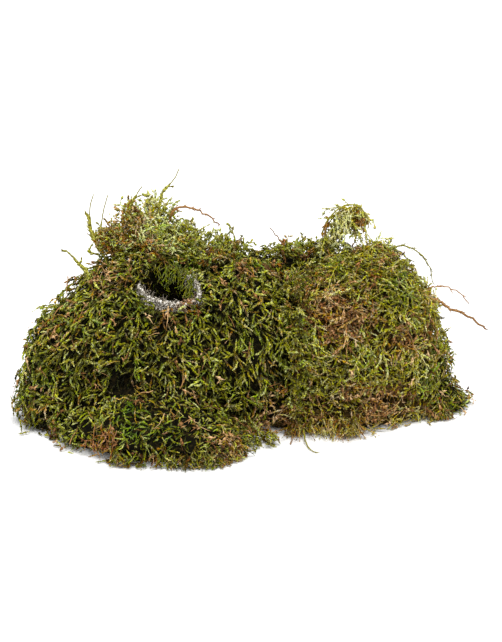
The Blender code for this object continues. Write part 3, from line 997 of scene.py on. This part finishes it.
# The fringes on the floor: node, from where to where along x, how far out they reach, and how many shoots.
FRINGES = [
    ("toe_mat", (22, 68), (5, 18), 220),
    ("right_mat", (20, 118), (2, 8), 90),
    ("foot_mat", (-82, 8), (1, 9), 250),
    ("front_mat", (-116, -60), (0, 4), 70),
    ("front_mat", (-20, 24), (3, 16), 150),
    ("tail_mat", (84, 120), (2, 9), 130),
]


def fringes():
    """Shoots that reach out of the rims over the floor."""
    for k, (node, (left, right), reach, count) in enumerate(FRINGES):
        points, normals = mat_places(node, 1.6 * MM)
        rim = (points[:, 2] < 12 * MM) & (points[:, 0] > left * MM) & (points[:, 0] < right * MM)
        rim &= normals[:, 1] < 0.3
        points, normals = points[rim], normals[rim]
        clumps = smooth_step(field(points, 7 * MM, 19), -0.35, 0.35) + 0.15
        picked = rng.choice(len(points), count, p=clumps / clumps.sum())
        out = unit(normals[picked] * (1, 1, 0) + rng.normal(0, 0.7, (count, 3)) * (1, 1, 0) - (0, 0.35, 0))
        roots = points[picked] - out * chance(count, 1, 4) * MM
        tips = points[picked] + out * chance(count, *reach) * rng.random((count, 1)) ** 0.5 * MM
        tips[:, 2] = np.maximum(rng.uniform(0.2, 1.1, count) * points[picked, 2], 1.5 * MM)
        paths = reaching_paths(roots, tips, 2.2 * MM, 5)
        paths[:, :, 2] = np.maximum(paths[:, :, 2], 1.4 * MM)
        marks = marks_for(points[picked], normals[picked], paths, 0.4, 0.2, 0.3)
        # Painted shade at random on the fringe shoots, on top of that under the surface.
        marks["deep"] = marks["deep"] + chance(count, 0, 0.55)
        dead = rng.random((count, 1)) < 0.3
        marks["dry"] = np.maximum(marks["dry"], dead * chance(count, 0.4, 0.9))
        marks["rust"] = np.maximum(marks["rust"], (rng.random((count, 1)) < 0.12) * 0.9)
        tangle = Tangle()
        shoots(tangle, paths, marks, 0.34 * MM, 9, 2.4 * MM, 1.6 * MM)
        place_moss(f"{node}_fringe_{k + 1}", tangle, SLOTS[node], node)


# The dark stem that the arch tuft hangs from, root to tip.
ARCH_ROUTE = [(47, 14, 93), (44, 13, 105), (46, 12, 116), (52, 12, 123)]
ARCH_ROUTE += [(59, 12, 126), (65, 12, 126), (67, 12, 120)]
# Strands under the arch: what drops from its end, and what spans from its foot to the mat.
ARCH_STRANDS = [
    [(68, 12, 122), (68, 11, 114), (69, 11, 106), (71, 10, 98)],
    [(47, 13, 104), (53, 12, 110), (62, 11, 110), (70, 10, 104), (76, 9, 96)],
    [(44, 14, 98), (51, 12, 104), (58, 11, 103), (66, 10, 97)],
    [(70, 9, 100), (76, 8, 108), (82, 8, 107), (84, 8, 99), (80, 8, 94)],
    [(51, 12, 123), (56, 11, 116), (61, 11, 111), (66, 10, 108)],
    [(56, 12, 125), (53, 11, 115), (50, 11, 107), (50, 11, 99)],
    [(68, 12, 112), (74, 10, 104), (79, 9, 100), (82, 9, 95)],
]


def smooth_route(route, stations):
    """A smooth path through points in millimetres."""
    points = np.array(route, float) * MM
    ends = np.concatenate((2 * points[:1] - points[1:2], points, 2 * points[-1:] - points[-2:-1]))
    where = np.linspace(0, len(points) - 1.0001, stations)
    k = where.astype(int)
    t = (where - k)[:, None]
    a, b, c, d = (ends[k + shift] for shift in range(4))
    return 0.5 * (2 * b + (c - a) * t + (2 * a - 5 * b + 4 * c - d) * t**2 + (3 * b - a - 3 * c + d) * t**3)


def arch():
    """The arching tuft: a dark stem with green branches that hang from it, and a rusty end."""
    route = smooth_route(ARCH_ROUTE, 60)
    count = 64
    spots = np.sort(rng.uniform(0.06, 1.0, count))
    roots = between(route[None], spots)[0] + rng.normal(0, 1.0 * MM, (count, 3))
    fall = (chance(count, 7, 16) + 7 * smooth_step(spots, 0.3, 0.5)[:, None] * rng.random((count, 1))) * MM
    fall *= 1 - 0.5 * smooth_step(spots, 0.75, 0.95)[:, None]
    inside = np.where(spots < 0.6, 0.3, -0.2)
    way = (rng.normal(inside, 0.45), rng.normal(0, 0.5, count), rng.normal(-0.8, 0.3, count))
    tips = roots + unit(np.stack(way, axis=1)) * fall
    paths = reaching_paths(roots, tips, 1.2 * MM, 5)
    shade = np.clip(rng.normal(0.68, 0.17, (count, 1)), 0, 1)
    rusty = ((spots > 0.86) & (rng.random(count) < 0.8)) | (rng.random(count) < 0.08)
    # Painted shade at random on each hanging branch.
    marks = {"shade": shade, "deep": chance(count, 0, 0.3), "rust": rusty[:, None] * 0.85}
    marks["dry"] = chance(count, 0, 0.2)
    tangle = Tangle()
    sprigs(tangle, paths, marks, fall * 0.36, 5, 3.1, 2.0, 58)
    # The arch's stem carries some painted shade.
    stalk(tangle, route[None], 0.55 * MM, {"shade": 0.12, "deep": 0.35})
    for strand in ARCH_STRANDS:
        path = smooth_route(strand, 9)[None]
        # Painted shade at random, a little, on each strand under the arch.
        one = {"shade": chance(1, 0.55, 0.8), "deep": chance(1, 0, 0.15)}
        sprigs(tangle, path, one, np.array([[5.5 * MM]]), 9, 2.9, 1.8, 55)
    place_moss("arch_tuft_sprigs", tangle, "pale_moss", "arch_tuft")


def loose_arcs(node, count, low, high, side, rise):
    """Leafy strands that spring from a mat and dip back into it, with daylight under them."""
    points, normals = mat_places(node, 3 * MM)
    inside = np.all((points > np.array(low) * MM) & (points < np.array(high) * MM), axis=1)
    points, normals = points[inside], normals[inside]
    start = rng.integers(0, len(points), count)
    away = np.linalg.norm(points[None] - points[start][:, None], axis=2)
    wanted = chance(count, 12, 24) * MM
    end = np.abs(away - wanted).argmin(axis=1)
    t = np.linspace(0, 1, 7)[None, :, None]
    up = unit(normals[start] + normals[end] + rng.normal(0, 0.25, (count, 3)))
    arc = points[start][:, None] * (1 - t) + points[end][:, None] * t - up[:, None] * 3 * MM
    arc = arc + up[:, None] * relief(points[start])[:, None]
    arc = arc + up[:, None] * (4 * t * (1 - t)) * (chance(count, *rise) * MM)[:, None]
    marks = marks_for(points[start], normals[start], arc, 0.5, 0.15)
    marks["deep"] = marks["deep"] * 0
    tangle = Tangle()
    sprigs(tangle, arc, marks, chance(count, 3, 6) * MM, side, 2.4, 1.4, 60)
    place_moss(f"{node}_arcs", tangle, "pale_moss", node)


# ---- stems


def centre_line(node):
    """Points along the middle of a CAD stem, from its root, which is the end nearer the mats, to its tip."""
    points = SURFACES[node]["points"]
    edges = SURFACES[node]["faces"][:, (0, 1, 1, 2, 2, 0)].reshape(-1, 2)
    lengths = np.linalg.norm(points[edges[:, 0]] - points[edges[:, 1]], axis=1)

    def walk(start):
        """How far every point is from one of them, along the edges."""
        far = np.full(len(points), np.inf)
        far[start] = 0
        for _ in points:
            np.minimum.at(far, edges[:, 1], far[edges[:, 0]] + lengths)
        return far

    end = int(np.argmax(walk(0)))
    order = np.argsort(walk(end))
    line = np.array([points[group].mean(axis=0) for group in np.array_split(order, max(4, len(order) // 8))])
    ends = distances(ALL_MATS, line[[0, -1]])
    return line if ends[0] <= ends[1] else line[::-1]


def rooted(line, depth):
    """A centre line with its root carried on into the moss."""
    way = unit(unit(line[0] - line[1]) - UP * 0.6)
    return np.concatenate(([line[0] + way * depth], [line[0] + way * depth * 0.45], line))


def even(line, stations):
    """A line resampled at even distances, as one path."""
    gone = np.concatenate(([0], np.cumsum(np.linalg.norm(np.diff(line, axis=0), axis=1))))
    where = np.linspace(0, gone[-1], stations)
    return np.stack([np.interp(where, gone, line[:, axis]) for axis in range(3)], axis=1)[None], gone[-1]


# What grows on a stem: its slot, the stalk's radius, leaves for each millimetre, leaf length, side branches
# and their reach, and where along it the leaves and branches start and stop.
STEM_DRESS = {
    "crown_stem_tall": ("green_stem", 0.6, 1.9, 4.4, 2, 4, 0.12, 0.6),
    "crown_stem_short": ("green_stem", 0.6, 1.3, 3.6, 4, 5, 0.12, 0.62),
    "crown_runner": ("brown_stem", 0.9, 0.6, 3.0, 9, 5, 0.1, 0.97),
    "left_stem_outer": ("green_stem", 0.6, 2.0, 6.2, 3, 6, 0.22, 0.66),
    "left_stem_inner": ("green_stem", 0.6, 1.4, 4.0, 3, 5, 0.12, 0.5),
    "left_sprig": ("green_stem", 0.6, 1.8, 4.6, 3, 5, 0.15, 0.97),
    "ridge_twig_left": ("green_stem", 0.6, 0.5, 2.4, 3, 5, 0.1, 0.7),
    "ridge_twig_right": ("brown_stem", 0.6, 0.05, 1.8, 3, 4, 0.1, 0.7),
    "arch_runner": ("green_stem", 0.6, 0.8, 2.4, 7, 5, 0.1, 0.97),
    "right_loop": ("green_stem", 0.6, 1.0, 2.4, 11, 6, 0.1, 0.97),
    "right_runner_long": ("brown_stem", 1.15, 1.0, 2.8, 16, 4, 0.1, 0.9),
    "right_runner_fine": ("brown_stem", 0.6, 0.3, 2.2, 4, 6, 0.1, 0.8),
    "rootlet_left": ("brown_stem", 0.6, 0.3, 2.0, 3, 4, 0.1, 0.9),
    "rootlet_right": ("green_stem", 0.6, 0.5, 2.4, 3, 4, 0.1, 0.9),
}
STEM_ROOT = 9 * MM  # how far a stem's root goes on into the moss


def dress_stems():
    """Every loose stem: a tube along the CAD stem, rooted in the moss, with its leaves and side branches."""
    for node, (slot, radius, density, leaf, side, reach, start, stop) in STEM_DRESS.items():
        green = slot == "green_stem"
        path, length = even(rooted(centre_line(node), STEM_ROOT), 22)
        path = path + rng.normal(0, (0.05 if green else 0.3) * MM, path.shape)
        tangle = Tangle()
        strand = stalk(tangle, path, radius * MM, {"shade": 0.5}, taper=0.45)
        number = int(length / MM * density * (stop - start))
        lean = (30, 20) if green else (66, 52)
        if number > 2:
            told = {"shade": chance(1, 0.55, 0.75)}
            leaves(tangle, path, strand, told, number, leaf * MM, leaf * 0.46 * MM, lean, start, stop)
        twigs = branch_paths(path, side, np.array([[reach * MM]]), 48, start, stop)
        told = {"shade": chance(side, 0.35, 0.6)}
        if green:
            shoots(tangle, twigs, told, 0.22 * MM, 6, leaf * 0.75 * MM, leaf * 0.36 * MM)
        else:
            stalk(tangle, twigs, 0.42 * MM, told)
        place_tangle(f"{node}_strand", tangle, STEMS[slot], slot, node)


# ---- the crust and the hollow


CRUST_STAIN = np.array((-36, -38, 81)) * MM  # where the crust is orange-brown


def make_crust():
    """The pale crust: a ragged sheet of grains on the rim, with loose grains and fibres on it."""
    surface = SURFACES["pale_crust"]
    points, normals = scatter(surface, 0.72 * MM)
    gone = 0.25 + 0.75 * smooth_step(points[:, 0], -36 * MM, -26 * MM)
    keep = field(points, 3 * MM, 15) + 0.25 * rng.random(len(points)) > gone - 0.55
    keep &= hollow_nearness(points) < 1.08 + 0.08 * field(points, 4 * MM, 18)
    points, normals = points[keep], normals[keep]
    count = len(points)
    away = np.linalg.norm(points - CRUST_STAIN, axis=1, keepdims=True)
    rust = (1 - smooth_step(away, 3 * MM, 9 * MM)) * (rng.random((count, 1)) < 0.8)
    size = (0.25 + 0.65 * rng.random((count, 1, 1)) ** 2) * MM
    corners = np.array([(1, 0, 0), (0, 1, 0), (-1, 0, 0), (0, -1, 0), (0, 0, 1), (0, 0, -1)], float)
    shape = corners[None] * rng.uniform(0.55, 1.25, (count, 6, 1)) * size
    faces = [(0, 1, 4), (1, 2, 4), (2, 3, 4), (3, 0, 4), (1, 0, 5), (2, 1, 5), (3, 2, 5), (0, 3, 5)]
    spots = np.array([(0.2, 0.2), (0.8, 0.2), (0.8, 0.8), (0.2, 0.8), (0.5, 0.45), (0.5, 0.55)])
    sink = rng.normal(-0.4, 0.5, (count, 1)) * MM
    grains = shape + (points + normals * sink)[:, None]
    tangle = Tangle()
    marks = {"shade": rng.normal(0.6, 0.2, (count, 1)), "rust": rust}
    tangle.add(grains, np.array(faces), spots, marks)
    fibres = 320
    picked = rng.choice(count, fibres, replace=False)
    head = unit(normals[picked] * 0.35 + rng.normal(0, 0.7, (fibres, 3)))
    tips = points[picked] + head * chance(fibres, 2, 6) * MM
    paths = reaching_paths(points[picked], tips, 0.9 * MM, 5)
    stalk(tangle, paths, 0.15 * MM, {"shade": 0.3, "rust": rust[picked]})
    place_tangle("pale_crust_grains", tangle, CRUST, "pale_crust", "pale_crust")


def line_hollow():
    """Short dark shoots on the hollow's walls, darker further down with painted shade, and green sprigs that
    hang at its right and back.
    """
    points, normals = scatter(SURFACES["front_mat"], 3.2 * MM)
    near = hollow_nearness(points)
    keep = (near < HOLLOW_WALL) & (distances(NEIGHBOURS["front_mat"], points) > CONTACT)
    points, normals = points[keep], normals[keep]
    count = len(points)
    way = lay(points, normals, 1.0, 0.4, 0.3)
    length = chance(count, 4, 8) * MM
    height = rng.normal(-1.2, 0.8, (count, 1)) * MM
    paths = lying_paths(points, normals, way, length, 25, height, 3)
    marks = marks_for(points, normals, paths, 0.35, 0.12)
    # Painted shade: the shoots are darker the lower they sit in the hollow.
    sunk_painted_shade = smooth_step(-points[:, 2], -88 * MM, -66 * MM)[:, None]
    marks["deep"] = np.clip(marks["deep"] + 0.9 * sunk_painted_shade, 0, 1)
    tangle = Tangle()
    shoots(tangle, paths, marks, 0.3 * MM, 8, 1.8 * MM, 0.8 * MM)
    hanging = 18
    turns = np.linspace(0.36, 1.14, hanging) * math.pi
    across, over, _ = hollow_frame()
    over = over * np.sign(over[1])
    ring = across[None] * np.cos(turns)[:, None] * 15 * MM + over[None] * np.sin(turns)[:, None] * 12 * MM
    roots = HOLLOW_MOUTH + ring + UP * 3 * MM + rng.normal(0, 1.0 * MM, ring.shape)
    tips = roots - UP * chance(hanging, 6, 14) * MM - ring * chance(hanging, 0.1, 0.55)
    paths = reaching_paths(roots, tips, 1.8 * MM, 5)
    # Painted shade at random on the hanging sprigs.
    marks = {"shade": chance(hanging, 0.4, 0.65), "deep": chance(hanging, 0, 0.4)}
    marks["fresh"] = chance(hanging, 0, 0.6)
    sprigs(tangle, paths, marks, np.full((hanging, 1), 4.5 * MM), 7, 2.0, 0.95)
    place_moss("hollow_lining", tangle, "olive_moss", "front_mat")


# ---- dead matter


STRAW_SPACING = {"right_mat": 3.4, "toe_mat": 3.0, "front_mat": 4.4, "foot_mat": 4.0, "tail_mat": 4.0}


def straw():
    """Dead matter on the dry patches: curled straws and pale flakes."""
    tangle = Tangle()
    for node, spacing in STRAW_SPACING.items():
        points, normals = mat_places(node, spacing * MM)
        marks = patch_marks(points)
        wanted = 0.07 + 0.75 * np.maximum(marks["dry"], marks["rust"] * 0.8)
        keep = rng.random(len(points)) < wanted
        points, normals = points[keep], normals[keep]
        count = len(points)
        way = lay(points, normals, 0.4, 1.0, 0.8)
        length = chance(count, 5, 15) * MM
        height = rng.normal(0.6, 1.0, (count, 1)).clip(-2, 2.6) * MM + relief(points)
        paths = lying_paths(points, normals, way, length, 22, height, 6)
        paths = paths + rng.normal(0, 0.35 * MM, paths.shape)
        rust = (marks["rust"][keep] > rng.random(count))[:, None] * 0.7
        shade = np.clip(rng.normal(0.45, 0.27, (count, 1)), 0, 1)
        stalk(tangle, paths, chance(count, 0.16, 0.36) * MM, {"shade": shade, "rust": rust}, taper=0.7)
        flat = rng.random(count) < 0.7
        leaves_at = paths[flat][:, :3]
        told = {"shade": shade[flat] + 0.12, "rust": rust[flat] * 0.8}
        strand = tangle.strand_total + np.arange(len(leaves_at))
        tangle.strand_total += len(leaves_at)
        leaves(tangle, leaves_at, strand, told, 3, 4.2 * MM, 2.4 * MM, spread=(30, 60))
    place_tangle("dead_straw", tangle, STEMS["straw"], "straw_moss", "toe_mat")


# ---- stage and camera


FLOOR_SIZE = 12
FLOOR_COLOUR = (0.93, 0.93, 0.93, 1)
SURROUND_STRENGTH = 0.72
KEY_STRENGTH = 3.5
KEY_SPREAD = 36  # degrees, for soft shadows
KEY_FROM = (0.12, -0.62, 1.0)


def make_stage():
    """A plain pale floor."""
    bpy.ops.mesh.primitive_plane_add(size=FLOOR_SIZE)
    floor = bpy.context.active_object
    floor.name = "studio_floor"
    material, _, shader = new_material("studio_floor", 0.9, 0.1)
    shader.inputs["Base Color"].default_value = FLOOR_COLOUR
    floor.data.materials.append(material)


def make_light():
    """An even white surround, and one broad soft light from above and in front."""
    world = bpy.data.worlds.new("studio")
    bpy.context.scene.world = world
    world.use_nodes = True
    background = world.node_tree.nodes["Background"]
    background.inputs["Color"].default_value = (1, 1, 1, 1)
    background.inputs["Strength"].default_value = SURROUND_STRENGTH
    sun = bpy.data.lights.new("soft_key", "SUN")
    sun.energy = KEY_STRENGTH
    sun.angle = math.radians(KEY_SPREAD)
    key = bpy.data.objects.new("soft_key", sun)
    key.rotation_euler = Vector(KEY_FROM).to_track_quat("Z", "Y").to_euler()
    bpy.context.scene.collection.objects.link(key)
    bpy.context.scene.view_settings.view_transform = "Standard"


CAMERA_TILT = 20  # degrees down
CAMERA_AWAY = 1.1
VIEW_WIDTH = 0.3012  # at the clump's middle
VIEW_MIDDLE = Vector((0, 0, 0.059))
SENSOR = 36  # mm across


def make_camera():
    """A view from the front that looks down on the clump."""
    tilt = math.radians(CAMERA_TILT)
    data = bpy.data.cameras.new("camera")
    data.sensor_fit = "HORIZONTAL"
    data.sensor_width = SENSOR
    data.lens = SENSOR * CAMERA_AWAY / VIEW_WIDTH
    camera = bpy.data.objects.new("camera", data)
    camera.location = VIEW_MIDDLE + Vector((0, -math.cos(tilt), math.sin(tilt))) * CAMERA_AWAY
    camera.rotation_euler = (camera.location - VIEW_MIDDLE).to_track_quat("Z", "Y").to_euler()
    bpy.context.scene.collection.objects.link(camera)
    bpy.context.scene.camera = camera


make_stage()
make_light()
make_camera()
make_cores()
for mat in MATS:
    grow_mat(mat)
sprig_mat("right_mat", 7.2, (9, 18), 0.38, 0.48)
crown()
arch()
bunches("ridge_sprigs", RIDGE_BUNCHES, 0.5, "pale_moss", "crown_tuft")
bunches("seam_sprigs", SEAM_BUNCHES, 0.42, "mixed_moss", "right_mat")
fringes()
loose_arcs("right_mat", 70, (30, -30, 60), (130, 40, 130), 5, (2, 8))
dress_stems()
make_crust()
line_hollow()
straw()
